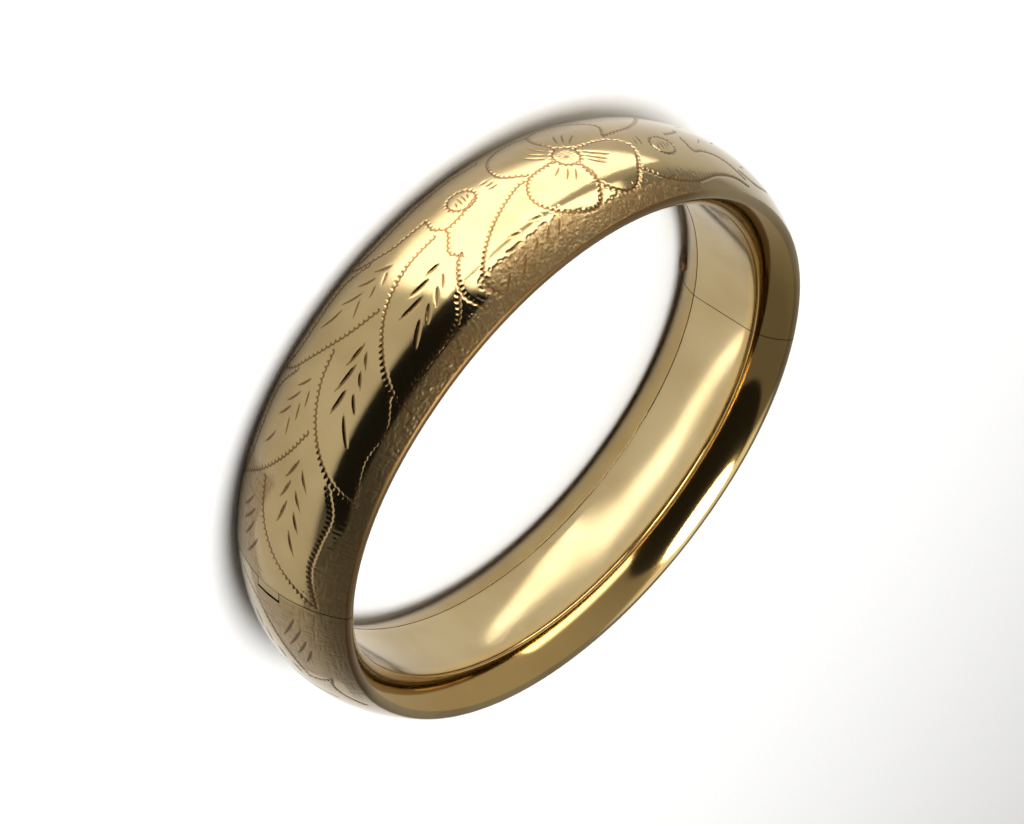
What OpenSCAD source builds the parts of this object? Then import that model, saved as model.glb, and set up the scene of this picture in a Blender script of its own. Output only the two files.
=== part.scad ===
// Hinged oval bangle: two hollow half-bands, a concealed three-knuckle hinge at +X
// and a tongue-and-box clasp with a spring thumb tab at -X.
// Lying flat: +Z is across the band, the lower rim rests on Z = 0, +Y is the upper half.

/* [Oval] */
// Half of the wrist opening's long side, hinge to clasp
inner_a = 30; // [26:0.5:36]
// Half of the wrist opening's short side
inner_b = 27.5; // [24:0.5:29]

/* [Band] */
// Width of the band, rim to rim
band_w = 16.2; // [13:0.1:22]
// Thickness of the band at its crown
band_t = 5.7; // [5.4:0.1:8]
// Radius that rolls the inside face out to each rim
roll_r = 6; // [5.8:0.1:12]
// Width of each rolled shoulder, from the flat middle of the inside face to the rim
shoulder_w = 4.8; // [3.6:0.1:5.4]
// Width of the flat land that each rim stands on
land_w = 0.5; // [0.3:0.05:0.9]
// Sheet thickness of the domed outer shell
shell_t = 0.5; // [0.3:0.05:0.6]
// Sheet thickness of the inner lining
lining_t = 0.5; // [0.3:0.05:0.6]
// Width of the shell's turned-in edges, from each rim to the lining
edge_w = 3.7; // [2.8:0.1:4.4]
// Gap between the two halves at each parting face
parting = 0.1; // [0.06:0.01:0.2]

/* [Hinge] */
// Depth of the hinge axis below the crown of the band
hinge_depth = 1.6; // [1.4:0.05:1.9]
// Outside radius of the knuckles
knuckle_r = 1; // [0.9:0.05:1.2]
// Length of each of the three knuckles
knuckle_l = 2.3; // [1.8:0.1:2.6]
// Gap between neighbouring knuckles
knuckle_gap = 0.08; // [0.05:0.01:0.15]
// Radius of the hinge pin
pin_r = 0.45; // [0.35:0.01:0.55]
// Running clearance round the pin in the upper knuckle
pin_clear = 0.04; // [0.02:0.01:0.08]
// Clearance round a knuckle in the opposite hinge plate
knuckle_clear = 0.12; // [0.08:0.01:0.2]
// Thickness of the hinge plates
hinge_plate_t = 1.7; // [1.5:0.1:2.4]
// Widest opening of the hinge, degrees
open_deg = 50; // [30:1:60]
// Spare angle in the outer groove of the hinge, degrees
groove_spare = 2; // [1:0.5:4]

/* [Clasp] */
// Thickness of the clasp plate and of the mouth plate
plate_t = 0.8; // [0.6:0.05:1]
// Thickness of the two tongue leaves
leaf_t = 0.35; // [0.25:0.05:0.4]
// Width of the tongue
tongue_w = 4.6; // [4:0.1:5]
// Length of the tongue from the parting face to its fold
tongue_l = 6; // [5:0.1:6.2]
// Height of the fixed leaf above the inside face of the band
tongue_h = 0.95; // [0.9:0.01:1.1]
// Radius inside the fold of the tongue
fold_r = 0.4; // [0.3:0.05:0.45]
// Height of the catch shoulders
catch_h = 1; // [0.8:0.05:1.1]
// Length of the catch shoulders
catch_l = 0.7; // [0.5:0.05:1]
// Height of the lip that the catch shoulders stand under
lip_h = 3.5; // [3.4:0.02:3.6]
// Running clearance round the tongue, the catch and the tab
clasp_clear = 0.1; // [0.08:0.01:0.15]
// Wall thickness of the catch box
box_t = 0.3; // [0.2:0.05:0.35]
// Clearance past the tip of the tongue in the catch box
tip_clear = 0.35; // [0.3:0.05:0.5]
// Width of the thumb tab
tab_w = 2.9; // [2.4:0.1:3.6]
// Length of the thumb tab
tab_l = 0.95; // [0.92:0.01:1.2]
// Gap between the thumb tab and the end of the upper half
tab_root_gap = 0.04; // [0.03:0.01:0.06]
// Gap at the free end of the thumb tab
tab_gap = 0.3; // [0.2:0.05:0.5]

/* [Rim bead] */
// Radius of the small bead on the lower rim of the upper half
bead_r = 0.45; // [0.3:0.05:0.5]
// Length of the bead
bead_l = 2.8; // [1.5:0.1:4]
// Distance of the bead's middle from the hinge's parting face
bead_at = 2.6; // [2.2:0.1:4]
// Height of the bead's middle above the lower rim's land
bead_up = 1; // [0.8:0.05:1.5]

/* [Hidden] */
$fn = 96;

gold = [0.80, 0.66, 0.40];
pale_gold = [0.84, 0.74, 0.52];
old_brass = [0.62, 0.48, 0.26];
dark_solder = [0.30, 0.19, 0.10];

// Four-centre oval on 3-4-5 triangles: two end arcs and two side arcs that meet tangent.
end_x = 2 * (inner_a - inner_b);
side_y = end_x * 3 / 4;
end_r = inner_a - end_x;
side_r = inner_b + side_y;

// The inside face is flat in the middle and rolls out by this much at the rims.
half_w = band_w / 2;
flat_half = half_w - shoulder_w;
lining_w = band_w - 2 * edge_w;
flare = roll_r - sqrt(pow(roll_r, 2) - pow(half_w - flat_half, 2));
// The dome's arc runs through the crown and the outer edge of each land.
rise = band_t - flare - land_w;
dome_r = (pow(half_w, 2) + pow(rise, 2)) / (2 * rise);

far = 100;
half_gap = parting / 2;
hinge_x = inner_a + band_t - hinge_depth;
hinge_l = 3 * knuckle_l + 2 * knuckle_gap;
knuckle_pitch = knuckle_l + knuckle_gap;
fold_outer_r = fold_r + leaf_t;
fold_top = tongue_h + 2 * fold_outer_r;
tab_root = tab_root_gap - half_gap;
catch_y = tab_root + tab_l;
box_l = tongue_l + fold_outer_r + tip_clear;
catch_top = lip_h - clasp_clear;
mouth_floor = tongue_h - clasp_clear - half_gap;

// --- the band's section: x outward from the inside face, y across the band ---

module inside_of_roll(t) {
    translate([t, -flat_half]) square([roll_r, 2 * flat_half]);
    for (s = [-1, 1])
        translate([roll_r, s * flat_half]) circle(r = roll_r - t);
}

module inside_of_dome(t)
    translate([band_t - dome_r, 0]) circle(r = dome_r - t);

module band_section()
    intersection() {
        inside_of_dome(0);
        inside_of_roll(0);
        translate([-roll_r, -half_w]) square([3 * roll_r, band_w]);
    }

module hollow_section()
    intersection() {
        inside_of_dome(shell_t);
        inside_of_roll(lining_t);
        translate([0, shell_t - half_w]) square([2 * roll_r, band_w - 2 * shell_t]);
    }

module lining_strip()
    translate([-1, -lining_w / 2]) square([band_t / 2 + 1, lining_w]);

module shell_section()
    difference() {
        band_section();
        hollow_section();
        lining_strip();
    }

module lining_section()
    intersection() {
        difference() {
            band_section();
            hollow_section();
        }
        lining_strip();
    }

// --- the oval: a section carried round the upper half, parting face to parting face ---

// A ring about one centre of the oval, kept between two directions seen from there.
module arc_sweep(centre, r, from_dir, to_dir)
    translate([centre.x, centre.y, 0])
        intersection() {
            rotate_extrude() translate([r, 0]) children();
            translate([0, 0, -band_w])
                linear_extrude(height = 2 * band_w)
                    polygon([[0, 0], far * from_dir, far * to_dir]);
        }

module half_ring()
    translate([0, 0, half_w]) {
        arc_sweep([end_x, 0], end_r, [1, 0], [4, 3]) children();
        arc_sweep([0, -side_y], side_r, [4, 3], [-4, 3]) children();
        arc_sweep([-end_x, 0], end_r, [-4, 3], [-1, 0]) children();
    }

// A slab across one end of the upper half, from the parting face up.
module end_slab(side, from_y, depth)
    translate([side > 0 ? 0 : -far, from_y, -1]) cube([far, depth, band_w + 2]);

module above_parting()
    translate([-far, half_gap, -far]) cube([2 * far, far, 2 * far]);

module lower_half() mirror([0, 1, 0]) children();

// --- cuts that the hinge and the clasp need ---

// Groove outside the hinge axis, so the outer edges clear each other as it opens.
module hinge_groove() {
    half_deg = open_deg / 2 + groove_spare;
    reach = 3 * hinge_depth;
    translate([hinge_x, 0, -1])
        linear_extrude(height = band_w + 2)
            polygon([
                [0, 0],
                [reach, -reach * tan(half_deg)],
                [reach, reach * tan(half_deg)]
            ]);
}

module hinge_rod(r, from_z, l)
    translate([hinge_x, 0, from_z]) cylinder(r = r, h = l);

module knuckle_channel()
    hinge_rod(knuckle_r + knuckle_clear, half_w - hinge_l / 2 - knuckle_gap, hinge_l + 2 * knuckle_gap);

// A block in the clasp, given by its height above the inside face,
// its depth below the parting plane and its width across the band.
module clasp_block(low, high, from_y, to_y, w)
    translate([-inner_a - high, -to_y, half_w - w / 2])
        cube([high - low, to_y - from_y, w]);

// The notch runs a hair past the lip and the parting face, so that it cuts cleanly.
module tab_notch() {
    hair = 0.01;
    clasp_block(lip_h - hair, band_t + 1, -hair, catch_y + tab_gap, tab_w + 2 * clasp_clear);
}

// --- upper half ---

module upper_shell()
    color(gold) difference() {
        intersection() {
            half_ring() shell_section();
            above_parting();
        }
        hinge_groove();
        knuckle_channel();
    }

module upper_lining()
    color(pale_gold) intersection() {
        half_ring() lining_section();
        above_parting();
    }

module hinge_plate_blank()
    difference() {
        intersection() {
            half_ring() hollow_section();
            end_slab(1, half_gap, hinge_plate_t);
        }
        hinge_groove();
        knuckle_channel();
    }

// The saddle fills the channel behind a knuckle, so the knuckle is soldered to its plate.
module saddle(from_z, l)
    difference() {
        translate([hinge_x - knuckle_r - knuckle_clear, half_gap, from_z])
            cube([knuckle_r + knuckle_clear, knuckle_r + knuckle_clear, l]);
        hinge_rod(knuckle_r, from_z - 1, l + 2);
    }

module upper_hinge_plate()
    color(old_brass) {
        hinge_plate_blank();
        saddle(half_w - knuckle_l / 2, knuckle_l);
    }

module upper_knuckle()
    color(old_brass) difference() {
        hinge_rod(knuckle_r, half_w - knuckle_l / 2, knuckle_l);
        hinge_rod(pin_r + pin_clear, 0, band_w);
    }

module clasp_plate()
    color(old_brass) intersection() {
        half_ring() hollow_section();
        end_slab(-1, half_gap, plate_t);
    }

// Fixed leaf of the tongue and the fold at its tip.
module tongue()
    color(old_brass) {
        clasp_block(tongue_h, tongue_h + leaf_t, -half_gap, tongue_l, tongue_w);
        translate([-inner_a - tongue_h - fold_outer_r, -tongue_l, half_w - tongue_w / 2])
            intersection() {
                difference() {
                    cylinder(r = fold_outer_r, h = tongue_w);
                    translate([0, 0, -1]) cylinder(r = fold_r, h = tongue_w + 2);
                }
                translate([-far / 2, -far, -1]) cube([far, far, tongue_w + 2]);
            }
    }

// The bead's axis lies just under the rolled face at the bead's own height.
bead_inset = roll_r - sqrt(pow(roll_r, 2) - pow(half_w - flat_half - bead_up, 2)) + bead_r * 0.1;

module rim_bead()
    color(dark_solder) difference() {
        translate([inner_a + bead_inset, bead_at, bead_up])
            rotate([90, 0, 0]) {
                cylinder(r = bead_r, h = bead_l - 2 * bead_r, center = true);
                for (s = [-1, 1])
                    translate([0, 0, s * (bead_l / 2 - bead_r)]) sphere(r = bead_r);
            }
        translate([0, 0, half_w])
            arc_sweep([end_x, 0], end_r, [1, 0], [4, 3]) band_section();
    }

// --- spring catch, carried by the tongue ---

module catch_leaf() {
    leaf_end = fold_top - leaf_t;
    color(old_brass) {
        clasp_block(catch_top - catch_h, catch_top, catch_y, catch_y + catch_l, tongue_w);
        translate([0, 0, half_w - tongue_w / 2])
            linear_extrude(height = tongue_w)
                polygon([
                    [-inner_a - leaf_end, -tongue_l + clasp_clear],
                    [-inner_a - fold_top, -tongue_l + clasp_clear],
                    [-inner_a - catch_top + leaf_t, -catch_y - catch_l / 2],
                    [-inner_a - catch_top + 2 * leaf_t, -catch_y - catch_l / 2]
                ]);
    }
}

module thumb_tab()
    color(gold) intersection() {
        clasp_block(catch_top - catch_h / 2, band_t + 1, tab_root, catch_y, tab_w);
        lower_half() half_ring() band_section();
    }

// --- lower half ---

module lower_shell()
    color(gold) difference() {
        lower_half() intersection() {
            half_ring() shell_section();
            above_parting();
        }
        hinge_groove();
        knuckle_channel();
        tab_notch();
    }

module lower_lining()
    color(pale_gold) lower_half() intersection() {
        half_ring() lining_section();
        above_parting();
    }

module lower_hinge_plate()
    color(old_brass) lower_half() {
        hinge_plate_blank();
        for (s = [-1, 1])
            saddle(half_w + s * knuckle_pitch - knuckle_l / 2, knuckle_l);
    }

module lower_knuckle(side)
    color(old_brass) difference() {
        hinge_rod(knuckle_r, half_w + side * knuckle_pitch - knuckle_l / 2, knuckle_l);
        hinge_rod(pin_r, 0, band_w);
    }

module lower_knuckle_top() lower_knuckle(1);
module lower_knuckle_bottom() lower_knuckle(-1);

module hinge_pin()
    color(pale_gold) hinge_rod(pin_r, half_w - hinge_l / 2, hinge_l);

// Closes the clasp end of the lower half: a mouth for the tongue, a notch for the tab.
module mouth_plate()
    color(old_brass) difference() {
        lower_half() intersection() {
            half_ring() hollow_section();
            end_slab(-1, half_gap, plate_t);
        }
        clasp_block(mouth_floor, lip_h, -1, 2 * plate_t, tongue_w + 2 * clasp_clear);
        tab_notch();
    }

module catch_box() {
    mouth_w = tongue_w + 2 * clasp_clear;
    back = half_gap + plate_t;
    color(old_brass) difference() {
        clasp_block(mouth_floor - box_t, lip_h + box_t, back, box_l + box_t, mouth_w + 2 * box_t);
        clasp_block(mouth_floor, lip_h, back - 1, box_l, mouth_w);
        tab_notch();
    }
}

lower_shell();
lower_lining();
lower_hinge_plate();
lower_knuckle_top();
lower_knuckle_bottom();
hinge_pin();
mouth_plate();
catch_box();
upper_shell();
upper_lining();
upper_hinge_plate();
upper_knuckle();
clasp_plate();
tongue();
rim_bead();
catch_leaf();
thumb_tab();
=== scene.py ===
# %% [markdown]
# # A hinged gold bangle, engraved by hand
# The bangle is two hollow half-bands of thin gold sheet. A concealed hinge joins them at one end of the
# oval and a tongue with a thumb tab closes them at the other. The CAD model holds every piece and joint.
# This lesson dresses it: the two domed shells and the linings are rebuilt as fine meshes so that the
# graver's cuts are real dents, and each remaining piece gets a finish that suits it.

import math

import bpy
import numpy as np
from mathutils import Matrix, Quaternion, Vector


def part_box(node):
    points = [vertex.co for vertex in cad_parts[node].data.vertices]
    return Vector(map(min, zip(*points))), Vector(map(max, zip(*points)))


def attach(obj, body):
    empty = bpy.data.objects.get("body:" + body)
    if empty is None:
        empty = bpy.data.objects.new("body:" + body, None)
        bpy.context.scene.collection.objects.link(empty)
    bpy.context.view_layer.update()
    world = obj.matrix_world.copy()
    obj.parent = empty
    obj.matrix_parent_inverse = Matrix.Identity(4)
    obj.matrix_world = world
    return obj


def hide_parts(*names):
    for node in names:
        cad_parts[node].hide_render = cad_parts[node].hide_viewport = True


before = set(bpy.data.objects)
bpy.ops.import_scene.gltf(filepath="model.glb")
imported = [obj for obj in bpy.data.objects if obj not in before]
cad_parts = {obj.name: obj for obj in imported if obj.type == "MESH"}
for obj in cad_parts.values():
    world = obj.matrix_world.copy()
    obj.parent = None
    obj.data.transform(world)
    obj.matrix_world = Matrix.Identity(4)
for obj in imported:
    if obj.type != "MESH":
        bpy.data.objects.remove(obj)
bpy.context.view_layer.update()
MM = 0.001

# %% [markdown]
# ## The camera
# The bangle lies flat on its lower rim. The camera looks down on it from the engraved side, near the
# clasp, and is rolled to one side. A camera points along its own -Z axis, so its turn is built from
# three directions at right angles: to the right, up, and backwards.

# %% Set the camera
looking = Vector((0.575, -0.647, -0.500)).normalized()
rough_up = Vector((0.414, 0.758, -0.505))
to_right = looking.cross(rough_up).normalized()
upwards = to_right.cross(looking)
camera = bpy.data.objects.new("camera", bpy.data.cameras.new("camera"))
camera.matrix_world = Matrix.Translation(Vector((-115.25, 129.1, 104.81)) * MM) @ Matrix(
    (to_right, upwards, -looking)
).transposed().to_4x4()
camera.data.lens = 67.3
camera.data.clip_start = 0.005
camera.data.clip_end = 10
bpy.context.scene.collection.objects.link(camera)
bpy.context.scene.camera = camera
print("camera stands", round(camera.location.length / MM), "mm from the frame's origin")

# %% [markdown]
# ## Shader maths as plain sums
# A finish is mostly arithmetic on masks: so much wear here, less tarnish there. Blender does that with
# Math nodes, which are slow to read. One small class wraps an output socket, so that an expression such
# as `1 - wear * 0.3` adds its own nodes. Colours never go through Math nodes, because those turn a
# colour grey: they are blended by Mix nodes instead.


# %% A class for sockets
class Wire:
    """One output socket of a node tree, with arithmetic."""

    def __init__(self, bench, socket):
        self.bench, self.socket = bench, socket

    def sum(self, operation, *values, **settings):
        return self.bench.node("ShaderNodeMath", {"operation": operation, **settings}, *values)

    def __add__(self, other):
        return self.sum("ADD", self, other)

    def __rsub__(self, other):
        return self.sum("SUBTRACT", other, self)

    def __mul__(self, other):
        return self.sum("MULTIPLY", self, other)

    __radd__ = __add__

    def clamp(self):
        return self.sum("ADD", self, 0.0, use_clamp=True)

    def ramp(self, low, high):
        """0 below low, 1 above high, and a soft rise between them."""
        settings = {"interpolation_type": "SMOOTHSTEP"}
        return self.bench.node("ShaderNodeMapRange", settings, self, low, high, 0.0, 1.0)


# %% [markdown]
# Every finish is a tree of nodes, and the same steps recur in all of them: add a node, set its options,
# wire its inputs. Written out in full, they would bury the finish, so one method does them all.


# %% A class for one node tree
class Bench:
    """The node tree of a material or a world, and the one way to add a node to it."""

    def __init__(self, owner):
        owner.use_nodes = True
        self.tree = owner.node_tree
        self.tree.nodes.clear()

    def node(self, kind, settings, *values, out=0, **named):
        """Add a node: its settings first, then its sockets in order or by name, as values or wires."""
        made = self.tree.nodes.new(kind)
        for name, value in settings.items():
            setattr(made, name, value)
        shown = [s for s in made.inputs if s.enabled]
        pairs = list(zip(shown, values)) + [
            (next(s for s in shown if s.name == name.replace("_", " ")), value)
            for name, value in named.items()
        ]
        for socket, value in pairs:
            if isinstance(value, Wire):
                self.tree.links.new(value.socket, socket)
            else:
                socket.default_value = value
        outputs = [s for s in made.outputs if s.enabled]
        return Wire(self, outputs[out]) if outputs else None

    def blend(self, share, one, other):
        """Colour one where share is 0, colour other where it is 1."""
        return self.node("ShaderNodeMix", {"data_type": "RGBA"}, share, one, other)

    def noise(self, where, scale, detail=2.0):
        return self.node("ShaderNodeTexNoise", {}, Vector=where, Scale=scale, Detail=detail)

    def attribute(self, name):
        """A number stored at each point of a mesh."""
        return self.node("ShaderNodeAttribute", {"attribute_name": name}, out=2)


def tone(red, green, blue):
    return (red, green, blue, 1.0)


print("socket class ready")

# %% [markdown]
# ## Floor and light
# Polished metal shows its surroundings more than itself, so the floor matters as much as the lamps. It
# is pale paper with a faint grain, wide enough to have no edge in view.


# %% Floor
def make_floor():
    half = 3.0
    mesh = bpy.data.meshes.new("floor")
    corners = [(-half, -half, 0), (half, -half, 0), (half, half, 0), (-half, half, 0)]
    mesh.from_pydata(corners, [], [(0, 1, 2, 3)])
    floor = bpy.data.objects.new("floor", mesh)
    bpy.context.scene.collection.objects.link(floor)
    material = bpy.data.materials.new("floor_paper")
    bench = Bench(material)
    where = bench.node("ShaderNodeTexCoord", {}, out=3)
    grain = bench.noise(where, 900.0)
    colour = bench.blend(grain, tone(0.86, 0.86, 0.85), tone(0.9, 0.9, 0.895))
    skin = bench.node("ShaderNodeBsdfPrincipled", {}, Base_Color=colour, Roughness=0.8)
    bench.node("ShaderNodeOutputMaterial", {}, skin)
    mesh.materials.append(material)
    return floor


floor = make_floor()
print("floor covers", [round(x, 1) for x in floor.dimensions[:2]], "m")


# %% [markdown]
# A ready-made panorama could stand in for the room, but a few soft-edged patches, each set by a
# direction, are easier to move to where the metal needs them: a bright ceiling, a low window, a room
# that grows lighter towards one end, and a dark place where a person would stand. A round lamp hangs
# overhead. Two more lamps have grids, so that each throws a sharp bright pool on the floor. The crown
# of the band mirrors the pool beyond the flower as its long highlight, and the lining mirrors the small
# one inside the oval.


# %% Room and lamps
def make_room():
    world = bpy.data.worlds.new("room")
    bpy.context.scene.world = world
    bench = Bench(world)
    toward = bench.node("ShaderNodeTexCoord", {}, out=0)

    def facing(x, y, z):
        length = math.sqrt(x * x + y * y + z * z)
        direction = (x / length, y / length, z / length)
        dot = {"operation": "DOT_PRODUCT"}
        return bench.node("ShaderNodeVectorMath", dot, toward, direction, out=0)

    height = facing(0, 0, 1)
    above = height.ramp(0.88, 0.99)
    person = facing(-0.74, 0.48, 0.47).ramp(0.69, 0.73)
    window = facing(0.27, 0.96, 0.0).ramp(0.86, 0.88) * (1 - height.ramp(0.12, 0.30))
    light_end = facing(1, 0.1, 0).ramp(-0.6, 0.9)
    light = (0.22 + light_end * 0.40 + above * 2.2 + window * 5.5) * (1 - person * 0.9)
    glow = bench.node("ShaderNodeBackground", {}, tone(1.0, 0.99, 0.975), light)
    bench.node("ShaderNodeOutputWorld", {}, glow)


def lamp(name, place, power, turn, **settings):
    """An area lamp at a place in mm, turned by a quaternion; unturned, it shines straight down."""
    data = bpy.data.lights.new(name, "AREA")
    data.energy = power
    for key, value in settings.items():
        setattr(data, key, value)
    made = bpy.data.objects.new(name, data)
    made.location = Vector(place) * MM
    made.rotation_mode = "QUATERNION"
    made.rotation_quaternion = turn
    bpy.context.scene.collection.objects.link(made)


def pool(name, place, power, degrees, wide, long, spread):
    """A gridded lamp straight above the floor, which throws a sharp bright patch of light on it."""
    settings = {"shape": "RECTANGLE", "size": wide, "size_y": long, "spread": math.radians(spread)}
    lamp(name, place, power, Quaternion((0, 0, 1), math.radians(degrees)), **settings)


make_room()
overhead, aim = Vector((-100, 118, 400)), Vector((0, 10, 0))
lamp("overhead", overhead, 1.7, (aim - overhead).to_track_quat("-Z", "Y"), shape="DISK", size=0.2)
pool("inside_pool", (9.3, -10, 120), power=0.0005, degrees=8, wide=0.003, long=0.012, spread=1)
pool("pool", (-38, 237, 140), power=0.72, degrees=20, wide=0.11, long=0.4, spread=2)
bpy.context.scene.view_settings.view_transform = "Standard"

# %% [markdown]
# ## Gold, bright and matt
# The shells are gold over brass, polished and then worn for decades: fine hairlines, a skin a little
# deeper in colour where fingers never rub, brown residue at the bottom of each cut, and a frosted
# ground wherever the engraver crossed the metal with fine scratches. Where the sheet rolls in to the
# wrist, on the upper side above all, a warm orange tone is painted into the colour: a painted reflection
# of the gold that this concave metal mirrors. The meshes carry three numbers per point, `cut`, `matte`
# and `roll`, so one recipe serves every piece of the sheet. Painted images would do it too, but they
# would have to be redrawn whenever the pattern moves.


# %% Gold
def gold(name, bright, deep, polish, hairlines=0.35):
    material = bpy.data.materials.new(name)
    bench = Bench(material)
    where = bench.node("ShaderNodeTexCoord", {}, out=3)
    cut, matte, roll = bench.attribute("cut"), bench.attribute("matte"), bench.attribute("roll")
    cloud = bench.noise(where, 140.0, 3.0)
    speck = bench.noise(where, 2600.0, 2.0)
    streak_way = bench.node("ShaderNodeMapping", {}, Vector=where, Scale=(900.0, 900.0, 9000.0))
    streak = bench.noise(streak_way, 1.0, 1.0)
    rubbed = bench.blend(cloud.ramp(0.35, 0.7), bright, deep)
    frost = (matte * 0.55 + speck.ramp(0.5, 0.75) * matte * 0.3).clamp()
    frosted = bench.blend(frost, rubbed, tone(0.17, 0.11, 0.045))
    residue = (cut.ramp(0.25, 0.95) * (0.7 + cloud * 0.4)).clamp()
    # Painted reflection: the rolled-in edges, marked by roll, are tinted warm orange for the gold that
    # they mirror.
    painted_roll_glow = bench.blend(roll * 0.65, frosted, tone(0.58, 0.37, 0.12))
    colour = bench.blend(residue, painted_roll_glow, tone(0.10, 0.046, 0.013))
    rough = polish + cloud * 0.05 + speck * 0.04 + matte * 0.25 + residue * 0.15
    height = streak * hairlines + speck * (0.25 + matte * 1.2)
    relief = bench.node("ShaderNodeBump", {}, Strength=0.12, Distance=0.00002, Height=height)
    rough = rough.clamp()
    skin = bench.node(
        "ShaderNodeBsdfPrincipled", {}, Base_Color=colour, Metallic=1.0, Roughness=rough, Normal=relief
    )
    bench.node("ShaderNodeOutputMaterial", {}, skin)
    return material


shell_gold = gold("shell_gold", tone(0.325, 0.245, 0.12), tone(0.275, 0.2, 0.092), 0.05)
lining_gold = gold("lining_gold", tone(0.40, 0.315, 0.17), tone(0.35, 0.265, 0.133), 0.07, hairlines=0.6)
tab_gold = gold("tab_gold", tone(0.29, 0.21, 0.1), tone(0.23, 0.16, 0.07), 0.3, hairlines=1.0)
print("golds:", shell_gold.name, lining_gold.name, tab_gold.name)

# %% [markdown]
# ## Brass and a dark bead
# The hinge, the tongue and the plates never see a polishing wheel. They are drawn brass that has gone
# brown in patches. The small bead on the rim is treated as a drop of old solder, nearly black. These
# pieces keep the CAD's own solids, because a finish is all they need.


# %% Brass and a dark bead
def aged(name, bright, dark, polish, lump=0.3):
    material = bpy.data.materials.new(name)
    bench = Bench(material)
    where = bench.node("ShaderNodeTexCoord", {}, out=3)
    patch = bench.noise(where, 420.0, 4.0)
    grain = bench.noise(where, 3800.0, 2.0)
    drawn_way = bench.node("ShaderNodeMapping", {}, Vector=where, Scale=(500.0, 6000.0, 500.0))
    drawn = bench.noise(drawn_way, 1.0, 1.0)
    tarnish = patch.ramp(0.4, 0.65)
    colour = bench.blend(tarnish, bright, dark)
    rough = polish + tarnish * 0.2 + grain * 0.1
    relief = bench.node("ShaderNodeBump", {}, Strength=lump, Distance=0.00003, Height=drawn * 0.5 + grain)
    skin = bench.node(
        "ShaderNodeBsdfPrincipled", {}, Base_Color=colour, Metallic=1.0, Roughness=rough, Normal=relief
    )
    bench.node("ShaderNodeOutputMaterial", {}, skin)
    return material


old_brass = aged("old_brass", tone(0.52, 0.36, 0.15), tone(0.2, 0.115, 0.04), 0.28)
spring_brass = aged("spring_brass", tone(0.60, 0.45, 0.22), tone(0.34, 0.21, 0.08), 0.2)
pin_metal = aged("pin_metal", tone(0.62, 0.52, 0.34), tone(0.4, 0.3, 0.17), 0.18)
# A nearly black finish for the small bead on the rim.
dark_bead_finish = aged("dark_solder", tone(0.16, 0.085, 0.03), tone(0.05, 0.022, 0.01), 0.35, lump=0.6)
FINISHES = {
    "hinge_pin": pin_metal,
    "tongue": spring_brass,
    "catch_leaf": spring_brass,
    "thumb_tab": tab_gold,
    "rim_bead": dark_bead_finish,
}
REBUILT = ("upper_shell", "lower_shell", "upper_lining", "lower_lining")
for name, piece in sorted(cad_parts.items()):
    if name not in REBUILT:
        piece.data.materials.clear()
        piece.data.materials.append(FINISHES.get(name, old_brass))
print("dressed", len(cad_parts) - len(REBUILT), "CAD pieces")

# %% [markdown]
# ## The oval and its section
# The centre line is a four-centre oval: two tight end arcs and two flatter side arcs that meet without
# a corner. Round it goes a section with a domed outside, a narrow land on each rim and an inside face
# that is flat in the middle and rolls out to the rims. All sizes are in millimetres, as in the CAD.

# %% Sizes
WIDTH = (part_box("upper_shell")[1].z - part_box("upper_shell")[0].z) / MM
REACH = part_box("upper_shell")[1].x / MM
THICK, ROLL_R, SHOULDER, LAND, SHEET, EDGE = 5.7, 6.0, 4.8, 0.5, 0.5, 3.7
END_X, SIDE_Y, END_R, SIDE_R = 5.0, 3.75, 25.0, 31.25
PARTING, HINGE_IN, GROOVE = 0.05, 1.6, math.radians(27)
NOTCH_HALF, NOTCH_DEEP = 1.55, 1.24
HALF = WIDTH / 2
FLAT = HALF - SHOULDER
FLARE = ROLL_R - math.sqrt(ROLL_R**2 - SHOULDER**2)
RISE = THICK - FLARE - LAND
DOME_R = (HALF**2 + RISE**2) / (2 * RISE)
DOME_EDGE = DOME_R * math.asin(HALF / DOME_R)
SIDE_TURN = math.atan2(4, 3)
SIDE_LONG = (SIDE_R + THICK) * SIDE_TURN
HALF_LONG = SIDE_LONG + (END_R + THICK) * (math.pi / 2 - SIDE_TURN)
print("crown line:", round(HALF_LONG, 2), "mm each way; dome:", round(DOME_EDGE, 2), "mm each way")
print("reach by CAD", round(REACH, 2), "and by the sum", round(END_X + END_R + THICK, 2))


# %% [markdown]
# Every mesh below is laid out on the band itself: a place is a distance along the crown line and a
# distance across it. The next functions carry such a place into the frame. That way the pattern can be
# drawn flat and still land on the surface that the CAD has.


# %% Places on the band
def turn_at(along):
    """The turn from the crown's top, in radians, at a distance along the crown line."""
    far = np.abs(along)
    beyond = SIDE_TURN + (far - SIDE_LONG) / (END_R + THICK)
    return np.sign(along) * np.where(far <= SIDE_LONG, far / (SIDE_R + THICK), beyond)


def band_point(turn, height, across, lower=False):
    """A point at a turn from the crown, a height above the inside face and a place across the band."""
    turn, height, across = np.broadcast_arrays(turn, height, across)
    side = np.abs(turn) <= SIDE_TURN
    centre_x = np.where(side, 0.0, -np.sign(turn) * END_X)
    centre_y = np.where(side, -SIDE_Y, 0.0)
    radius = np.where(side, SIDE_R, END_R) + height
    x = centre_x - radius * np.sin(turn)
    y = centre_y + radius * np.cos(turn)
    return np.stack([x, -y if lower else y, across + HALF], axis=-1)


def last_turns(height):
    """How far a strand at this height runs: to the hinge's groove, and to the clasp's parting face."""
    flat_end = np.arcsin(PARTING / (END_R + height))
    hinge_x = END_R + THICK - HINGE_IN
    groove_end = GROOVE - np.arcsin(hinge_x * math.sin(GROOVE) / (END_R + height))
    return math.pi / 2 - np.maximum(flat_end, groove_end), math.pi / 2 - flat_end


def rolled(across, sheet=0.0):
    """Height of the inside face, or of the face one sheet behind it."""
    out = np.maximum(np.abs(across) - FLAT, 0)
    return ROLL_R - np.sqrt((ROLL_R - sheet) ** 2 - out**2)


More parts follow.
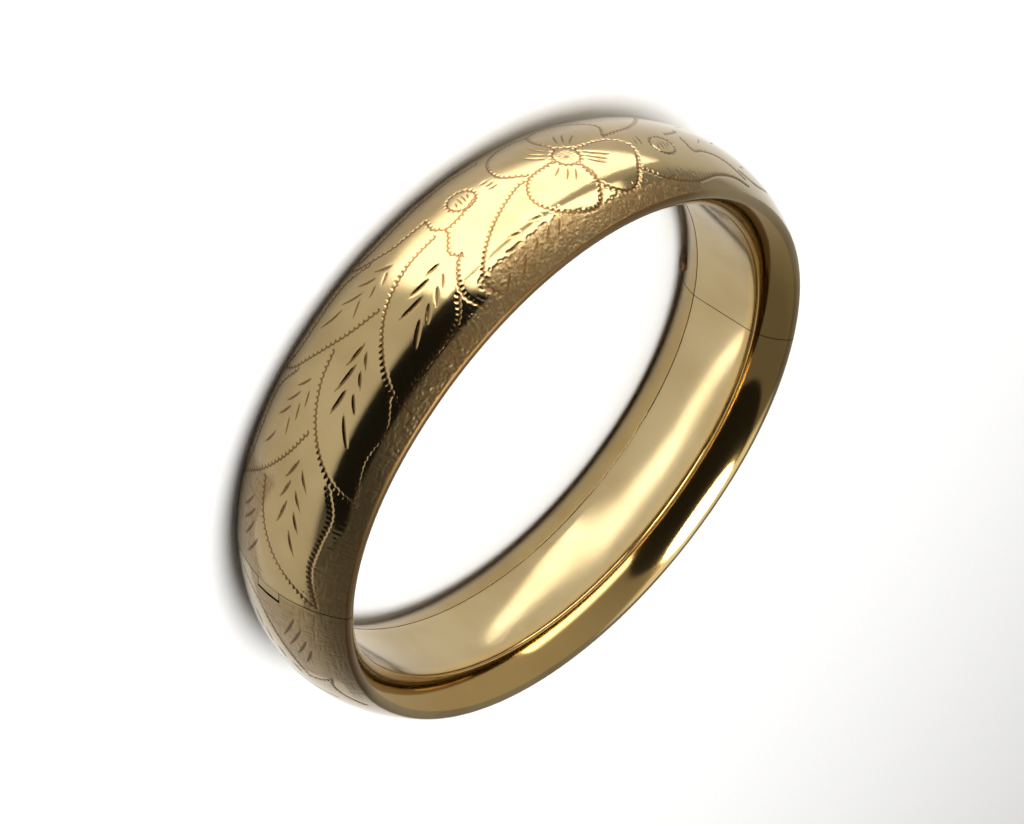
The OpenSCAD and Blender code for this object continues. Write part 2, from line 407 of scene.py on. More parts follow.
def domed(around, sheet=0.0):
    """Height and place across the band of a point on the dome, by its distance from the crown line."""
    angle = np.asarray(around) / DOME_R
    radius = DOME_R - sheet
    return THICK - DOME_R + radius * np.cos(angle), radius * np.sin(angle)


groove_turn = math.degrees(math.pi / 2 - last_turns(THICK)[0])
print("hinge groove starts", round(groove_turn, 2), "degrees up the band")

# %% [markdown]
# ## The graver
# Three tools made this pattern. A flat graver, rocked from side to side as it is pushed, leaves a
# wriggled line like a row of beads. A round graver flicked through the metal leaves a bright stroke,
# sharp at both ends. A lining tool scratches a fine crossed ground. The skin is laid out flat as a grid
# of depths, each cut is stamped into it, and the mesh is built from the grid, so every cut is a dent.


# %% The flat skin
class FlatSkin:
    """The dome laid flat, as a grid: depth in mm, the stain of each line and how matt the ground is."""

    def __init__(self, along, across, seed):
        self.along, self.across = np.asarray(along), np.asarray(across)
        self.depth = np.zeros((len(across), len(along)))
        self.line = np.zeros_like(self.depth)
        self.matte = np.zeros_like(self.depth)
        self.chance = np.random.default_rng(seed)

    def groove(self, path, half, deep, lean=0.0, stain=1.0):
        """A V cut along a path; half and deep are one number or one for each point."""
        path = np.asarray(path, float)
        half = np.broadcast_to(half, len(path))
        deep = np.broadcast_to(deep, len(path))
        for start, end, reach, bite in zip(path[:-1], path[1:], half, deep):
            self.stamp(start, end, max(reach, 0.02), bite, lean, stain)

    def stamp(self, start, end, reach, bite, lean, stain):
        low, high = np.minimum(start, end) - 1.6 * reach, np.maximum(start, end) + 1.6 * reach
        c0, c1 = np.searchsorted(self.along, (low[0], high[0]))
        r0, r1 = np.searchsorted(self.across, (low[1], high[1]))
        if c0 >= c1 or r0 >= r1:
            return
        gap_u = self.along[None, c0:c1] - start[0]
        gap_v = self.across[r0:r1, None] - start[1]
        run = end - start
        length = math.hypot(*run) + 1e-9
        share = np.clip((gap_u * run[0] + gap_v * run[1]) / length**2, 0, 1)
        off_u, off_v = gap_u - share * run[0], gap_v - share * run[1]
        away = np.hypot(off_u, off_v)
        left = np.sign(off_v * run[0] - off_u * run[1])
        cut = np.clip(1 - away / (reach * (1 + lean * left)), 0, 1)
        window = (slice(r0, r1), slice(c0, c1))
        self.depth[window] = np.maximum(self.depth[window], bite * cut)
        self.line[window] = np.maximum(self.line[window], stain * np.minimum(cut * 1.5, 1))


def smooth_line(points, step):
    """A smooth curve through a few points (Catmull-Rom), cut into even steps."""
    points = np.asarray(points, float)
    ends = np.vstack([2 * points[0] - points[1], points, 2 * points[-1] - points[-2]])
    t = np.linspace(0, 1, 24, endpoint=False)[:, None]
    parts = []
    for a, b, c, d in zip(ends, ends[1:], ends[2:], ends[3:]):
        square, cube = 2 * a - 5 * b + 4 * c - d, 3 * b - a - 3 * c + d
        parts.append(0.5 * (2 * b + (c - a) * t + square * t**2 + cube * t**3))
    curve = np.vstack([*parts, points[-1:]])
    run = np.concatenate([[0], np.cumsum(np.hypot(*np.diff(curve, axis=0).T))])
    even = np.linspace(0, run[-1], max(2, round(run[-1] / step)) + 1)
    return np.stack([np.interp(even, run, curve[:, 0]), np.interp(even, run, curve[:, 1])], axis=1)


print("a smooth line through 3 points gets", len(smooth_line([(0, 0), (2, 1), (4, 0)], 0.3)), "steps")


# %% [markdown]
# The pattern could be a painted bump map, but that leaves the outline smooth and lights every cut
# alike. A real dent for each cut is right from any side, and it costs little once each tool is a
# function that is handed a path. Small random changes keep any two bites from being the same.


# %% The three tools
def wriggle(skin, points, wide=0.22, pitch=0.56, deep=0.075):
    """A flat graver rocked from side to side: a thin line with a row of bites along it."""
    middle = smooth_line(points, pitch / 2)
    way = np.gradient(middle, axis=0)
    way /= np.hypot(*way.T)[:, None] + 1e-9
    side = np.stack([-way[:, 1], way[:, 0]], axis=1)
    swing = np.where(np.arange(len(middle)) % 2, 0.5, -0.5) * wide
    swing = swing * skin.chance.uniform(0.8, 1.2, len(middle))
    skin.groove(middle + side * swing[:, None] * 0.6, 0.17, deep, stain=1.0)
    for place, across, bite in zip(middle[::2], side[::2], skin.chance.uniform(0.8, 1.3, len(middle))):
        ends = [place - across * wide * 0.4, place - across * wide * 1.1]
        skin.groove(ends, 0.15, deep * bite, stain=1.0)


def flick(skin, start, end, wide=0.36, deep=0.1, bow=0.03):
    """A round graver flicked through: a bright stroke, sharp at both ends."""
    start, end = np.asarray(start, float), np.asarray(end, float)
    t = np.linspace(0, 1, 12)
    run = end - start
    side = np.array([-run[1], run[0]])
    path = start + t[:, None] * run + (4 * t * (1 - t) * bow)[:, None] * side
    swell = np.sin(math.pi * t**0.8) ** 0.8
    skin.groove(path, wide / 2 * swell + 0.03, deep * swell, lean=0.35)


def crossed_ground(skin, inside, count, slant=90.0, long=2.2, deep=0.026):
    """Fine scratches in two directions over the part of the skin that inside() says."""
    middle_u = (skin.along[0] + skin.along[-1]) / 2
    half_u = (skin.along[-1] - skin.along[0]) / 2
    for number in range(count):
        u = middle_u + skin.chance.uniform(-1, 1) * half_u
        v = skin.chance.uniform(skin.across[0], skin.across[-1])
        angle = math.radians((slant if number % 2 else 0) + skin.chance.normal(0, 7))
        reach = long / 2 * skin.chance.uniform(0.5, 1)
        step = np.array([math.cos(angle), math.sin(angle)]) * reach
        if inside(u, v):
            bite = deep * skin.chance.uniform(0.4, 1.3)
            skin.groove([(u, v) - step, (u, v) + step], 0.1, bite, stain=0.5)


ARCS_FROM, ARCS_TO, ARCS_ABOVE = -14, 34, 3.6


def small_arcs(skin, inside, count, deep=0.05):
    """Little hooked cuts, scattered over the ground beside the flower."""
    for _ in range(count):
        u = skin.chance.uniform(ARCS_FROM, ARCS_TO)
        v = skin.chance.uniform(ARCS_ABOVE, skin.across[-1])
        turn, size = skin.chance.uniform(0, 6.28), skin.chance.uniform(0.2, 0.5)
        if inside(u, v):
            bend = turn + np.linspace(0, 2.4, 6)
            path = np.stack([u + size * np.cos(bend), v + size * np.sin(bend)], axis=1)
            skin.groove(path, 0.11, deep, stain=0.62)


print("tools: wriggle, flick, crossed_ground, small_arcs")

# %% [markdown]
# ## Drawing the pattern
# A five-petalled flower sits on the crown. From it a stem runs to either side, and five big leaves lean
# one on another down to the clasp. Places are millimetres on the flat skin: first the distance along
# the crown line, counted towards the clasp, then the distance across it, counted towards the upper rim.

# %% The flower
RING, RING_R, SPOKE = (0.4, 0.0), 1.35, 0.75
PETALS = [
    [(0.2, 1.6), (0, 4.8), (-2.3, 6.4), (-4.9, 4.7), (-6.6, 2), (-5.2, 0.2), (-1.2, -0.4)],
    [(0.2, 1.6), (0, 3.5), (1.8, 6.2), (4.1, 6.1), (6.5, 4.4), (7.2, 2.2), (5.5, 0.2), (2, -0.2)],
    [(5.2, -0.2), (7, -2.1), (6.6, -4.2), (5, -5.8), (2.4, -6.6), (-0.3, -6)],
    [(0.4, -1.6), (0.7, -4.2), (-0.3, -6)],
    [(-5.2, -0.6), (-6.7, -2.8), (-4.9, -5.5), (-2.6, -6.5), (-0.3, -6)],
]
PETAL_RAYS = [
    ((-3.7, 2), (-1.4, 0.4)), ((-3.1, 2.5), (-1.1, 0.9)), ((-2.5, 2.9), (-0.8, 1.3)),
    ((1.1, 1.8), (2.2, 3)), ((1.7, 1.4), (2.9, 2.5)), ((2.2, 0.8), (3.5, 1.5)),
    ((1.3, -1.6), (2, -3.6)), ((1.8, -1.3), (2.9, -3)), ((2.2, -0.9), (3.6, -2.5)),
    ((-1.3, -1.2), (-3, -2.3)), ((-1, -1.6), (-2.4, -3.2)), ((-0.5, -1.9), (-1.6, -3.6)),
]


def cut_flower(skin):
    bend = np.linspace(0, 2 * math.pi, 13)
    ring = [(RING[0] + RING_R * math.cos(a), RING[1] + RING_R * math.sin(a)) for a in bend]
    wriggle(skin, ring, pitch=0.5)
    for petal in PETALS:
        wriggle(skin, petal)
    for start, end in PETAL_RAYS:
        flick(skin, start, end, wide=0.3, deep=0.07)
    for turn in np.linspace(0, math.pi, 7):
        reach = np.array([math.cos(turn), math.sin(turn)]) * SPOKE
        skin.groove([RING - reach, RING + reach], 0.1, 0.04, stain=0.6)


print("petals:", len(PETALS), "rays:", len(PETAL_RAYS))

# %% [markdown]
# Stems with small leaves and a bud run to both sides of the flower. The engraver cut them with the same
# rocked graver, so they are lists of points as well, and four short flicks shade each bud.

# %% The stems and small leaves beside the flower
STEMS = [
    [(-5.2, -0.6), (-9.7, -1.1), (-13.4, -3.1), (-15.6, -5)],
    [(-22.3, 7.4), (-19.7, 6.8), (-16, 6.8), (-11.8, 7.4), (-7.8, 6.6), (-5.2, 4.8)],
    [(-22.3, 6.5), (-19.4, 4.4), (-16.5, 3.7), (-14.7, 3.7), (-14.8, 1.6)],
    [(-15.7, 0.4), (-14.7, 0.8), (-12.8, 1.1)],
    [(-28.6, 6.1), (-25, 6.5), (-21.8, 5.4)],
    [(5.5, 0.3), (7.3, 0.3), (12.3, 2.2), (16.2, 5), (16.2, 7.2)],
    [(18.2, 7.2), (18.6, 4.5), (16.8, 2.3), (15.6, 1.9)],
    [(16, 1.9), (16.4, 0.8), (14.8, -1), (15.4, -2.4), (15, -3.9)],
    [(14.8, -1.2), (12.8, -1.3), (10.2, -2)],
    [(6, -6.4), (10.2, -7), (18.9, -7), (21.8, -7.4)],
]
BUDS = [((-10.7, 2.6), 1.5, 1.3), ((11.3, -2.8), 1.45, 1.3)]
SIDE_FLICKS = [
    ((-22.3, 0.8), (-20.7, 1.6)), ((-8.6, 0.6), (-8, 2.2)), ((-8, 0.8), (-7.4, 2)),
    ((-18.5, 1.4), (-17, 2.4)), ((-19.6, -1.6), (-17.6, -1.2)), ((-24.6, 4.2), (-22.8, 4.6)),
    ((6.6, 5.2), (7.8, 6.4)), ((8, 5.2), (9.2, 6.3)), ((9.8, 5.5), (10.8, 6.5)),
    ((11.8, 6), (13.6, 7.4)), ((14.1, 6.2), (15.6, 7.2)),
    ((7.6, 4.1), (9, 3.7)), ((10.4, 4.1), (11.6, 3.7)), ((11.6, 4.9), (13.1, 4.6)),
    ((7.8, -1.6), (8.9, -1.7)), ((7.8, -2.2), (8.7, -2.3)), ((8, -2.8), (8.8, -2.9)),
]


def cut_stems(skin):
    for stem in STEMS:
        wriggle(skin, stem)
    for (u, v), long, high in BUDS:
        bend = np.linspace(0, 2 * math.pi, 11)
        rounded = [(u + long * math.cos(a), v + high * math.sin(a)) for a in bend]
        wriggle(skin, rounded, wide=0.16, pitch=0.45)
        for place in np.linspace(-0.5, 0.5, 4):
            half = 0.55 * high * math.cos(2 * place)
            start, end = (u + place * long - 0.2, v - half), (u + place * long + 0.2, v + half)
            flick(skin, start, end, wide=0.24, deep=0.05)
    for start, end in SIDE_FLICKS:
        flick(skin, start, end, wide=0.3, deep=0.08)


print("stems:", len(STEMS), "buds:", len(BUDS), "flicks:", len(SIDE_FLICKS))

# %% [markdown]
# Each big leaf is two wriggled edges that meet at a point, and a row of flicked veins on either side of
# a midrib that isn't drawn. The veins on the upper side are slim; those below are broad and deep.

# %% The five big leaves
LEAF_EDGES = [
    [(15.8, -1.5), (19.7, -1.4), (23.9, -0.1), (27.3, 2.4), (29.5, 5), (30.2, 7.4)],
    [(18.9, 4.4), (21, 6), (24.9, 6.2), (28.6, 6.3), (30, 6.6)],
    [(24.3, -0.6), (27.6, -1.9), (30.7, -3.9), (33.1, -6), (33.9, -7.6)],
    [(15, -3.9), (18.9, -4.6), (21.8, -6.5), (22.6, -7.6)],
    [(21.2, -5.5), (24.4, -7), (30.7, -7), (33.9, -7.8)],
    [(29.9, 5), (32.8, 6.3), (36.5, 6), (40.7, 7)],
    [(29.5, -2.2), (32.8, -1.4), (36.5, 0.7), (39.4, 3.7), (40.7, 6.9)],
    [(36.9, 0), (39.9, -1.3), (42.8, -3.6), (45.2, -6.8), (46.2, -8.1)],
    [(33, -5.2), (35.7, -7), (39.7, -6.9), (43.9, -7), (45.6, -7.8)],
    [(40.3, 4.1), (42.8, 5.3), (46, 5), (49.4, 4.7), (53.5, 5.7)],
    [(43.2, -3), (46.8, -1.8), (49.9, 0.5), (52.3, 3.7), (53.4, 5.5)],
]
UPPER_VEINS = [
    ((18.2, 1.8), (19.4, 2.9)), ((19.5, 2.3), (21, 3.5)), ((21.1, 2.8), (22.7, 3.9)),
    ((22.7, 3.1), (25.2, 4.5)), ((27.8, 0.8), (29.3, 1.8)), ((29.5, 1.4), (31, 2.4)),
    ((31.5, 2), (33.1, 3.2)), ((33.5, 2.2), (36, 4)), ((40.1, 0.9), (41.9, 2.2)),
    ((42.2, 1), (43.9, 2.2)), ((44.1, 1.5), (46.1, 2.6)), ((46.1, 1.5), (48.6, 2.7)),
    ((21, -2.9), (22.3, -2.3)), ((22.6, -2.9), (23.9, -2.5)), ((24.4, -3.4), (26.2, -2.6)),
    ((33.7, -2.3), (35.2, -1.8)), ((35.2, -2.6), (36.8, -2.1)), ((36.9, -3), (38.5, -2.5)),
]
LOWER_VEINS = [
    ((17.6, 0.9), (19.4, 0.7)), ((19.3, 1.2), (21.9, 0.9)), ((20.9, 1.9), (23.9, 1.6)),
    ((20.2, -3), (21.6, -4.3)), ((21.9, -3.5), (23.6, -4.8)), ((23.7, -3.6), (25.8, -5.1)),
    ((26, -4.5), (28.7, -5.8)),
    ((27.3, 0.2), (29.9, -0.1)), ((29.1, 0.7), (32.4, 0.3)), ((31.5, 1.2), (34.3, 1)),
    ((32.7, -2.8), (34.1, -4)), ((34.3, -3.2), (35.9, -4.4)), ((35.9, -3.5), (37.5, -4.7)),
    ((38.9, -4), (40.7, -5)),
    ((39.4, 0.3), (41.7, -0.5)), ((41.6, 0.2), (43.7, -0.4)), ((43.5, 0.5), (46.2, 0)),
    ((46, -4), (48.1, -5.5)), ((46.9, -3.2), (49.3, -5)), ((48.2, -3), (50.8, -4.4)),
    ((49.4, -1.9), (52.4, -3.6)),
]


def cut_leaves(skin):
    for edge in LEAF_EDGES:
        wriggle(skin, edge)
    for start, end in UPPER_VEINS:
        flick(skin, start, end, wide=0.34, deep=0.08, bow=-0.02)
    for start, end in LOWER_VEINS:
        flick(skin, start, end, wide=0.46, deep=0.12)


print("leaf edges:", len(LEAF_EDGES), "veins:", len(UPPER_VEINS) + len(LOWER_VEINS))

# %% [markdown]
# Between the leaves and the rims the engraver matted the ground, so that the bright leaves stand out.
# One smooth sum says how matt the skin is at each place: it is near 1 where the ground was crossed.


# %% The matted ground
def rise(value, low, high):
    t = np.clip((value - low) / (high - low), 0, 1)
    return t * t * (3 - 2 * t)


def ground(u, v):
    u, v = np.asarray(u, float), np.asarray(v, float)
    beside_flower = rise(v, 6.2, 6.8) * rise(u, -16, -8) * (1 - rise(u, 40, 44))
    under_flower = rise(v, 4.6, 5.6) * rise(u, 3, 6) * (1 - rise(u, 16, 18))
    near_clasp = rise(u, 42, 44) * rise(np.abs(v - 1.0 - 0.25 * (50 - u)), 3.8, 4.6)
    near_clasp = near_clasp + rise(u, 44, 47) * rise(-v - 0.45 * (55 - u), -0.3, 0.6)
    near_clasp = near_clasp * (1 - rise(u, 53.6, 54.4))
    first_vein = 0.5 * (u - 56) - 2.5
    past_clasp = rise(u, 53.6, 54.4) * (1 - rise(u, 65, 66)) * rise(v, first_vein, first_vein + 0.5)
    rim = rise(v, 6.6, 7.2) * rise(u, 38, 41) * (1 - rise(u, 66, 72))
    low_rim = rise(-v, 7.3, 8) * rise(u, 2, 8) * (1 - rise(u, 66, 70))
    chevron = rise(v, 1.2, 1.5) * (1 - rise(v, 2.8, 3.2)) * rise(u, 7, 7.6) * (1 - rise(u, 12.4, 13))
    matted = beside_flower + under_flower + near_clasp + past_clasp + rim + low_rim
    return np.clip(matted + chevron * 0.35, 0, 1)


def engrave(skin, scratches):
    def matted(u, v):
        return ground(u, v) > 0.5

    skin.matte[:] = ground(skin.along[None, :], skin.across[:, None])
    crossed_ground(skin, matted, scratches)
    small_arcs(skin, matted, 3000)
    cut_flower(skin)
    cut_stems(skin)
    cut_leaves(skin)


print("ground at the flower's side:", float(ground(0.0, 7.5)), "and on a petal:", float(ground(0.0, 3.0)))

# %% [markdown]
# ## Building a shell from its skin
# The sheet is half a millimetre thick. Its front runs from one turned-in edge over the rim, across the
# dome and back to the other edge; its back follows half a millimetre behind with far fewer points,
# because nobody sees it. Both are swept round the oval, and the gap between them is closed all round.


# %% The sheet's front and back outlines
RIM_OUTSIDE, RIM_INSIDE, RIM_PULL, RIM_STEPS = 0.35, 0.32, 0.5, 11
CORNER, CORNER_DEEP, ROLL_STEPS = 0.1, 0.12, 22


def soft_corner(start, corner, end):
    """Four points that turn a corner along a parabola."""
    t = np.linspace(0, 1, 4)[:, None]
    start, corner, end = map(np.asarray, (start, corner, end))
    return (1 - t) ** 2 * start + 2 * t * (1 - t) * corner + t**2 * end


def front_outline(around):
    """Height and place across for the whole front, and where in it the dome begins."""
    height, across = domed(around)
    dome = np.stack([height, across], axis=1)
    top = dome[-1]
    edge = HALF - EDGE
    out = np.linspace(HALF - RIM_INSIDE, edge + CORNER, ROLL_STEPS)
    lean = math.asin(top[1] / DOME_R)
    meet = math.asin((out[0] - FLAT) / ROLL_R)
    down, up = np.array([-math.sin(lean), math.cos(lean)]), np.array([math.sin(meet), math.cos(meet)])
    foot = np.array([rolled(out[0]), out[0]])
    t = np.linspace(0, 1, RIM_STEPS + 2)[:, None]
    one, other = top + down * RIM_PULL, foot + up * RIM_PULL
    rim = (1 - t) ** 3 * top + 3 * t * (1 - t) ** 2 * one + 3 * t**2 * (1 - t) * other + t**3 * foot
    inner = np.stack([rolled(out), out], axis=1)
    turned = soft_corner(inner[-1], (rolled(edge), edge), (rolled(edge) + CORNER_DEEP, edge))
    plus = np.vstack([rim[1:-1], inner, turned[1:]])
    minus = plus[::-1] * (1, -1)
    return np.vstack([minus, dome, plus]), len(minus)


def back_outline():
    out = np.linspace(HALF - EDGE, HALF - SHEET, 4)
    tucked = np.stack([rolled(out, SHEET), out], axis=1)
    across = np.array([0, NOTCH_HALF, 3.8, 5.7, HALF - SHEET])
    around = DOME_R * np.arcsin(across / (DOME_R - SHEET))
    dome = np.stack(domed(around, SHEET), axis=1)
    plus = np.vstack([dome[1:], tucked[::-1]])
    return np.vstack([plus[::-1] * (1, -1), dome[:1], plus])


front_count = len(front_outline(np.linspace(-8.6, 8.6, 9))[0])
print("outline points:", front_count, "front,", len(back_outline()), "back")


# %% [markdown]
# On a bench the sheet would be pressed over a former. Here each point of an outline is carried round
# the oval as a strand. The clasp end of a half is flat, and its hinge end is bevelled so that it can
# swing, so a strand stops where its own height meets that face.


# %% Sweeping strands round the oval
END_ZONE = 0.12


def sweep(outline, along, lower):
    """Points of an outline carried along the band; each strand stops at its own end of the band."""
    height, across = outline[..., 0], outline[..., 1]
    turn = turn_at(along)
    if height.ndim == 1:
        height, across = height[:, None], across[:, None]
    hinge_end, clasp_end = last_turns(height)
    bend_in = math.pi / 2 - END_ZONE
    over = np.maximum(np.abs(turn) - bend_in, 0) / (math.pi / 2 - bend_in)
    limit = np.where(turn < 0, hinge_end, clasp_end)
    settled = np.where(np.abs(turn) > bend_in, np.sign(turn) * (bend_in + over * (limit - bend_in)), turn)
    return band_point(settled, height, across, lower)


def strip_faces(rows, columns, first=0, skip=None):
    """Quads of a grid of points, leaving out those in the block skip = (row0, row1, column0, column1)."""
    row, column = np.meshgrid(np.arange(rows - 1), np.arange(columns - 1), indexing="ij")
    if skip:
        keep = ~((row >= skip[0]) & (row < skip[1]) & (column >= skip[2]) & (column < skip[3]))
        row, column = row[keep], column[keep]
    corner = first + row * columns + column
    return np.stack([corner, corner + 1, corner + 1 + columns, corner + columns], axis=-1).reshape(-1, 4)


def zip_up(front, back, points):
    """Triangles that close the gap between two rows of points, walking along both at once."""
    mark = []
    for row in (front, back):
        run = np.concatenate([[0], np.cumsum(np.linalg.norm(np.diff(points[row], axis=0), axis=1))])
        mark.append(run / run[-1])
    faces, i, j = [], 0, 0
    while i < len(front) - 1 or j < len(back) - 1:
        ahead = j == len(back) - 1 or (i < len(front) - 1 and mark[0][i + 1] <= mark[1][j + 1])
        faces.append((front[i], front[i + 1], back[j]) if ahead else (front[i], back[j + 1], back[j]))
        i, j = (i + 1, j) if ahead else (i, j + 1)
    return faces


print("a grid of 4 by 5 points has", len(strip_faces(4, 5)), "quads")


# %% [markdown]
# Walls along the rims and caps at the ends join the two grids, so each piece is a closed solid, as the
# sheet is. A bare surface with a thickness modifier would take fewer lines, but its rims would be
# square and the notch would need a cutter. Each piece hides the CAD piece that it stands in for and
# rides on the same body, so the upper pieces swing with the hinge.


# %% One piece of sheet
SHARP = math.radians(48)


def make_piece(name, points, quads, triangles, numbers, material, body, nodes):
    mesh = bpy.data.meshes.new(name)
    sizes = [4] * len(quads) + [3] * len(triangles)
    corners = np.concatenate([np.asarray(quads).ravel(), np.asarray(triangles, int).ravel()])
    mesh.vertices.add(len(points))
    mesh.vertices.foreach_set("co", (points * MM).astype(np.float32).ravel())
    mesh.loops.add(len(corners))
    mesh.loops.foreach_set("vertex_index", corners.astype(np.int32))
    mesh.polygons.add(len(sizes))
    mesh.polygons.foreach_set("loop_start", np.concatenate([[0], np.cumsum(sizes)[:-1]]).astype(np.int32))
    mesh.polygons.foreach_set("use_smooth", np.ones(len(sizes), bool))
    mesh.update(calc_edges=True)
    mesh.validate()
    mesh.set_sharp_from_angle(angle=SHARP)
    for key, values in numbers.items():
        layer = mesh.attributes.new(key, "FLOAT", "POINT")
        layer.data.foreach_set("value", values.astype(np.float32))
    mesh.materials.append(material)
    piece = bpy.data.objects.new(name, mesh)
    bpy.context.scene.collection.objects.link(piece)
    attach(piece, body)
    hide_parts(*nodes)
    size = [round((b - a) / MM, 2) for a, b in zip(points.min(0) * MM, points.max(0) * MM)]
    print(name, "has", len(mesh.polygons), "faces and measures", size, "mm")


def make_shell(name, skin, along, lower, notch, body, node):
    """A domed shell; notch = (row0, row1, column0) is cut out at the clasp end where it isn't None."""
    outline, first = front_outline(skin.across)
    cols = len(along)
    rows = len(outline)
    grid = np.repeat(outline[:, None, :], cols, axis=1)
    tilt = skin.across / DOME_R
    dome = slice(first, first + len(skin.across))
    grid[dome, :, 0] -= skin.depth * np.cos(tilt)[:, None]
    grid[dome, :, 1] -= skin.depth * np.sin(tilt)[:, None]
    front = sweep(grid, along, lower).reshape(-1, 3)
    behind = back_outline()
    back = sweep(behind, along, lower).reshape(-1, 3)
    points = np.vstack([front, back])
    base = len(front)
    skip = back_skip = None
    if notch:
        row0, row1, col0 = first + notch[0], first + notch[1], notch[2]
        middle = len(behind) // 2
        skip, back_skip = (row0, row1, col0, cols), (middle - 1, middle + 1, col0, cols)
    quads = [strip_faces(rows, cols, 0, skip), strip_faces(len(behind), cols, base, back_skip)[:, ::-1]]
    triangles = []
    column = np.arange(cols)

    def wall(row, back_row, flip, start=0):
        a = row * cols + column[start:]
        b = base + back_row * cols + column[start:]
        faces = np.stack([a[:-1], a[1:], b[1:], b[:-1]], axis=1)
        quads.append(faces[:, ::-1] if flip else faces)

    def cap(at, row_from, row_to, back_from, back_to, flip):
        front_row = np.arange(row_from, row_to + 1) * cols + at
        back_row = base + np.arange(back_from, back_to + 1) * cols + at
        faces = zip_up(front_row, back_row, points)
        triangles.extend([f[::-1] for f in faces] if flip else faces)

    wall(0, 0, True)
    wall(rows - 1, len(behind) - 1, False)
    cap(0, 0, rows - 1, 0, len(behind) - 1, False)
    if notch:
        wall(row0, middle - 1, False, col0)
        wall(row1, middle + 1, True, col0)
        cap(col0, row0, row1, middle - 1, middle + 1, True)
        cap(cols - 1, 0, row0, 0, middle - 1, True)
        cap(cols - 1, row1, rows - 1, middle + 1, len(behind) - 1, True)
    else:
        cap(cols - 1, 0, rows - 1, 0, len(behind) - 1, True)
    cut, matte, roll = np.zeros((3, rows, cols))
    cut[dome], matte[dome] = skin.line, skin.matte
    end, fade = first + len(skin.across), np.linspace(1, 0.2, RIM_STEPS)[:, None]
    matte[first - RIM_STEPS:first] = fade[::-1] * skin.matte[0]
    matte[end:end + RIM_STEPS] = fade * skin.matte[-1]
    # Both rims are a little stained, and more so where the ground beside them is matt.
    cut[:first] = 0.3 + 0.5 * matte[:first]
    cut[end:] = 0.3 + 0.5 * matte[end:]
    # Painted reflection: its warm tone is faint on the lower rolled edge and full on the upper one.
    roll[:first - RIM_STEPS] = 0.2
    roll[end + RIM_STEPS:] = 1
    extra = np.zeros(len(back))
    numbers = {"cut": cut, "matte": matte, "roll": roll}
    numbers = {key: np.concatenate([value.ravel(), extra]) for key, value in numbers.items()}
    faces = np.vstack(quads)
    if lower:
        faces, triangles = faces[:, ::-1], [f[::-1] for f in triangles]
    make_piece(name, points, faces, triangles, numbers, shell_gold, body, [node])


print("shell builder ready")

# %% [markdown]
# ## The upper shell
# This half carries the engraving. As on a bench, the shape comes first and the pattern is cut into it.
# The cells of the grid are 0.11 mm, about half as wide as the finest scratch. A coarser grid would
# break the scratches up, and a finer one would be slow to build.

# %% The engraved upper shell
FINE = 0.11
dome_end = DOME_EDGE - RIM_OUTSIDE
dome_rows = np.linspace(-dome_end, dome_end, round(2 * DOME_EDGE / FINE))
upper_along = np.linspace(-HALF_LONG, HALF_LONG, round(2 * HALF_LONG / FINE))
upper_skin = FlatSkin(upper_along, dome_rows, seed=7)
engrave(upper_skin, 9000)
make_shell("engraved_shell", upper_skin, upper_along, False, None, "upper_half", "upper_shell")
print("deepest cut:", round(float(upper_skin.depth.max()), 3), "mm")

# %% [markdown]
# ## The lower shell
# The engraving runs a little way past the clasp and stops. The rest of this half is plain polished
# metal. A notch in its end leaves room for the thumb tab. Its grid is fine near the clasp only.

# %% The lower shell
NOTCH_STEPS, COARSE_STEPS, FINE_STEPS, FINE_FROM = 12, 190, 205, 30
PAST_CLASP_EDGES = [
    [(55.5, -4.7), (57.2, -1.8), (60.2, 0.3), (63, 1.8), (66.5, 3.1)],
    [(66.5, 3.1), (66.1, 4.6), (65.3, 6)],
    [(65.3, 6), (67.2, 5.6), (69.4, 6.1), (72, 7.4)],
    [(56.5, -6.9), (60, -6.2), (64.5, -3.2), (68.5, 0.6), (71, 4.6)],
]
PAST_CLASP_VEINS = [
    ((56.1, 3.3), (59.8, 1.6)), ((57.3, 4), (60.9, 2.2)), ((58.9, 4.4), (62, 2.9)),
    ((60.2, 4.8), (63, 3.7)), ((59.7, -2.9), (62, -2)), ((61.5, -1.6), (63.6, -1)),
    ((63.4, -0.2), (65.4, 0.4)), ((65, 1.2), (67, 1.9)),
]
notch_row = np.abs(dome_rows - DOME_R * math.asin(NOTCH_HALF / DOME_R)).argmin()
dome_rows[notch_row] = DOME_R * math.asin(NOTCH_HALF / DOME_R)
dome_rows[len(dome_rows) - 1 - notch_row] = -dome_rows[notch_row]
notch_along = HALF_LONG - NOTCH_DEEP
lower_along = np.concatenate([
    np.linspace(-HALF_LONG, FINE_FROM, COARSE_STEPS, endpoint=False),
    np.linspace(FINE_FROM, notch_along, FINE_STEPS, endpoint=False),
    np.linspace(notch_along, HALF_LONG, NOTCH_STEPS),
])
lower_skin = FlatSkin((2 * HALF_LONG - lower_along)[::-1], dome_rows, seed=8)
engrave(lower_skin, 4000)
for edge in PAST_CLASP_EDGES:
    wriggle(lower_skin, edge)
for start, end in PAST_CLASP_VEINS:
    flick(lower_skin, start, end, wide=0.42, deep=0.1)
for grid in ("depth", "line", "matte"):
    setattr(lower_skin, grid, getattr(lower_skin, grid)[:, ::-1])
notch = (len(dome_rows) - 1 - notch_row, notch_row, len(lower_along) - NOTCH_STEPS)
make_shell("plain_shell", lower_skin, lower_along, True, notch, "lower_half", "lower_shell")

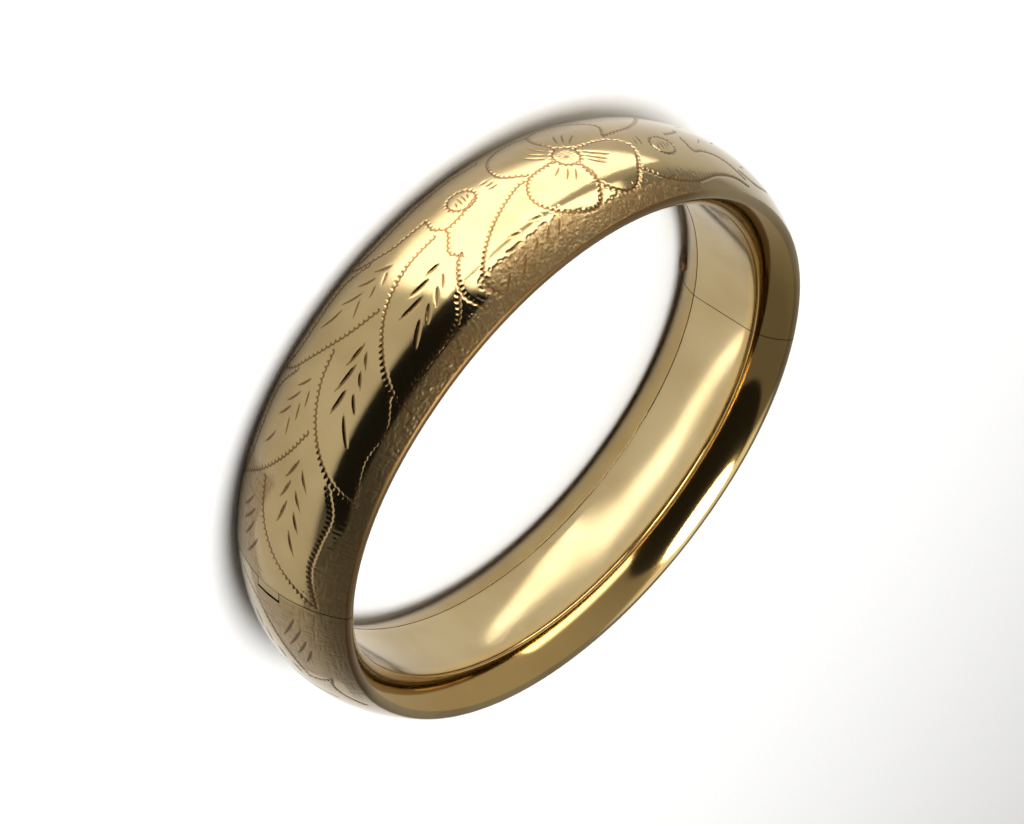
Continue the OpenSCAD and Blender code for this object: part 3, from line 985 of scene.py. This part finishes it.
# %% [markdown]
# ## The linings
# The wrist side of each half is a second strip of sheet, let in between the turned-in edges of the
# shell. A hair-fine seam shows where they meet. A dark line in the colour would fake it, but only from
# straight above, so the strip has a real gap and eased long edges.


# %% Linings
SEAM_GAP, EASE_WIDE, EASE_DEEP = 0.02, 0.08, 0.06
LONG_STEPS, FACE_STEPS, BACK_STEPS = 420, 45, 11


def make_lining(name, lower, body, node):
    along = np.linspace(-HALF_LONG, HALF_LONG, LONG_STEPS)
    reach = HALF - EDGE - SEAM_GAP
    across = np.linspace(-reach + EASE_WIDE, reach - EASE_WIDE, FACE_STEPS)
    face = np.stack([rolled(across), across], axis=1)
    ease = np.array([(rolled(reach) + EASE_DEEP, reach), (rolled(reach) + SHEET, reach)])
    inner = np.linspace(reach, -reach, BACK_STEPS + 2)[1:-1]
    back = np.stack([rolled(inner, SHEET) - rolled(0, SHEET) + SHEET, inner], axis=1)
    loop = np.vstack([face, ease, back, ease[::-1] * (1, -1)])
    rows, cols = len(loop), len(along)
    points = sweep(loop, along, lower).reshape(-1, 3)
    row, column = np.meshgrid(np.arange(rows), np.arange(cols - 1), indexing="ij")
    nxt = (row + 1) % rows
    here, beside = row * cols + column, nxt * cols + column
    quads = np.stack([here, beside, beside + 1, here + 1], axis=-1).reshape(-1, 4)
    triangles = []
    near, away = np.arange(len(face) + 1), np.arange(rows - 1, len(face), -1)
    for at, flip in ((0, True), (cols - 1, False)):
        faces = zip_up(near * cols + at, away * cols + at, points)
        triangles.extend([f[::-1] for f in faces] if flip else faces)
    if lower:
        quads, triangles = quads[:, ::-1], [f[::-1] for f in triangles]
    none = np.zeros(len(points))
    # Painted reflection: the face gets a warm tone over its last millimetre or so before the upper seam.
    roll = np.repeat(np.clip((loop[:, 1] - 3) / 1.2, 0, 1), cols)
    numbers = {"cut": none, "matte": none, "roll": roll}
    make_piece(name, points, quads, triangles, numbers, lining_gold, body, [node])


make_lining("upper_inside", False, "upper_half", "upper_lining")
make_lining("lower_inside", True, "lower_half", "lower_lining")
